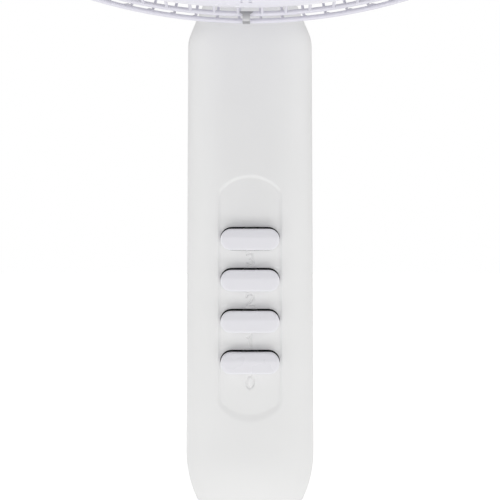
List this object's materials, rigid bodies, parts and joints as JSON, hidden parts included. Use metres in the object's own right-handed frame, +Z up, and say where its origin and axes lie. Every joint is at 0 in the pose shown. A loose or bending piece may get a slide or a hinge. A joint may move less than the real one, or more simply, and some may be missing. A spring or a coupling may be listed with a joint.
{
  "type": "pedestal fan",
  "caption": "White stand fan: caged tilting and turning head on a tapered control column with stacked push buttons, telescopic pole and round weighted foot.",
  "frame": {"origin": "on the floor, in the middle of the foot, under the pole's axis", "axes": "+Z up along the pole; the fan blows towards -Y, where the buttons are; +X is to the right when looking at the buttons"},
  "size_m": [0.42, 0.38, 1.267],
  "materials": {
    "white_plastic": "fine satin moulded plastic",
    "button_plastic": "satin gloss",
    "blade_plastic": "glossy, faintly cool white",
    "dark_plastic": "matt moulded plastic",
    "rubber": "matt",
    "painted_wire": "powder-coated wire",
    "painted_steel": "satin paint",
    "chrome": "bright plate",
    "steel": "bare steel",
    "dark_steel": "dark, dull",
    "cast_alloy": "die-cast, grainy",
    "copper": "varnished copper winding and sintered bronze"
  },
  "bodies": {
    "stand": {"base_cover": "white_plastic", "base_weight": "dark_steel", "foot_1": "rubber", "foot_2": "rubber", "foot_3": "rubber", "foot_4": "rubber", "foot_5": "rubber", "pole_plug": "steel", "base_bolt": "dark_plastic", "outer_tube": "painted_steel", "clamp_sleeve": "white_plastic"},
    "clamp_nut": {"clamp_nut": "white_plastic"},
    "mast": {"inner_tube": "chrome", "column_front": "white_plastic", "column_rear": "white_plastic", "column_screw_1": "steel", "column_screw_2": "steel", "column_screw_3": "steel", "column_screw_4": "steel", "pole_socket": "dark_plastic", "cord_bush": "rubber", "switch_block": "dark_plastic", "button_spring_0": "steel", "button_spring_1": "steel", "button_spring_2": "steel", "button_spring_3": "steel", "capacitor": "dark_plastic", "terminal_block": "white_plastic", "tilt_fork": "cast_alloy", "tilt_bolt": "steel"},
    "pole_screw": {"pole_screw": "dark_plastic"},
    "button_0": {"button_0": "button_plastic"},
    "button_1": {"button_1": "button_plastic"},
    "button_2": {"button_2": "button_plastic"},
    "button_3": {"button_3": "button_plastic"},
    "neck": {"tilt_neck": "white_plastic"},
    "tilt_knob": {"tilt_knob": "white_plastic"},
    "head": {"motor_frame": "cast_alloy", "front_bearing": "copper", "stator": "dark_steel", "coil_front": "copper", "coil_rear": "copper", "rear_bearing": "copper", "rear_bracket": "cast_alloy", "gearbox": "dark_plastic", "motor_cover": "white_plastic", "cover_screw": "steel", "rear_guard": "painted_wire", "front_guard": "painted_wire", "guard_trim": "blade_plastic", "guard_badge": "white_plastic"},
    "oscillation_knob": {"oscillation_knob": "white_plastic"},
    "guard_nut": {"guard_nut": "white_plastic"},
    "rotor": {"rotor_core": "steel", "motor_shaft": "chrome", "fan_wheel": "blade_plastic", "spinner_nut": "blade_plastic"},
    "clip_bottom": {"guard_clip_bottom": "steel"},
    "clip_right": {"guard_clip_right": "steel"},
    "clip_left": {"guard_clip_left": "steel"}
  },
  "joints": [
    {"name": "height", "type": "slide", "parent": "stand", "child": "mast", "axis": [0, 0, 1], "range_m": [-0.15, 0.17]},
    {"name": "clamp_turn", "type": "hinge", "parent": "stand", "child": "clamp_nut", "pos_m": [0, 0, 0.42], "axis": [0, 0, 1], "range_deg": [0, 270]},
    {"name": "pole_screw_turn", "type": "hinge", "parent": "mast", "child": "pole_screw", "pos_m": [0, 0.03, 0.668], "axis": [0, 1, 0], "range_deg": [0, 270]},
    {"name": "tilt", "type": "hinge", "parent": "mast", "child": "neck", "pos_m": [0, 0, 0.96], "axis": [1, 0, 0], "range_deg": [-25, 10]},
    {"name": "tilt_knob_turn", "type": "hinge", "parent": "mast", "child": "tilt_knob", "pos_m": [0.02, 0, 0.96], "axis": [1, 0, 0], "range_deg": [0, 180]},
    {"name": "pan", "type": "hinge", "parent": "neck", "child": "head", "pos_m": [0, 0, 1], "axis": [0, 0, 1], "range_deg": [-40, 40]},
    {"name": "oscillation_pull", "type": "slide", "parent": "head", "child": "oscillation_knob", "axis": [0, 0, 1], "range_m": [0, 0.008]},
    {"name": "guard_nut_turn", "type": "hinge", "parent": "head", "child": "guard_nut", "pos_m": [0, -0.047, 1.057], "axis": [0, -1, 0], "range_deg": [0, 180]},
    {"name": "fan_spin", "type": "hinge", "parent": "head", "child": "rotor", "pos_m": [0, -0.09, 1.057], "axis": [0, 1, 0], "continuous": true},
    {"name": "button_0_press", "type": "slide", "parent": "mast", "child": "button_0", "axis": [0, 1, 0], "range_m": [0, 0.003], "stiffness_N_per_m": 400, "springref_m": -0.002, "deforming": ["button_spring_0"]},
    {"name": "button_1_press", "type": "slide", "parent": "mast", "child": "button_1", "axis": [0, 1, 0], "range_m": [0, 0.003], "stiffness_N_per_m": 400, "springref_m": -0.002, "deforming": ["button_spring_1"]},
    {"name": "button_2_press", "type": "slide", "parent": "mast", "child": "button_2", "axis": [0, 1, 0], "range_m": [0, 0.003], "stiffness_N_per_m": 400, "springref_m": -0.002, "deforming": ["button_spring_2"]},
    {"name": "button_3_press", "type": "slide", "parent": "mast", "child": "button_3", "axis": [0, 1, 0], "range_m": [0, 0.003], "stiffness_N_per_m": 400, "springref_m": -0.002, "deforming": ["button_spring_3"]},
    {"name": "clip_bottom_open", "type": "hinge", "parent": "head", "child": "clip_bottom", "pos_m": [-0.0014, -0.1165, 0.8475], "axis": [1, 0, 0], "range_deg": [0, 75]},
    {"name": "clip_right_open", "type": "hinge", "parent": "head", "child": "clip_right", "pos_m": [0.18213, -0.1165, 1.16054], "axis": [-0.5, 0, 0.866], "range_deg": [0, 75]},
    {"name": "clip_left_open", "type": "hinge", "parent": "head", "child": "clip_left", "pos_m": [-0.18073, -0.1165, 1.16296], "axis": [-0.5, 0, -0.866], "range_deg": [0, 75]}
  ]
}
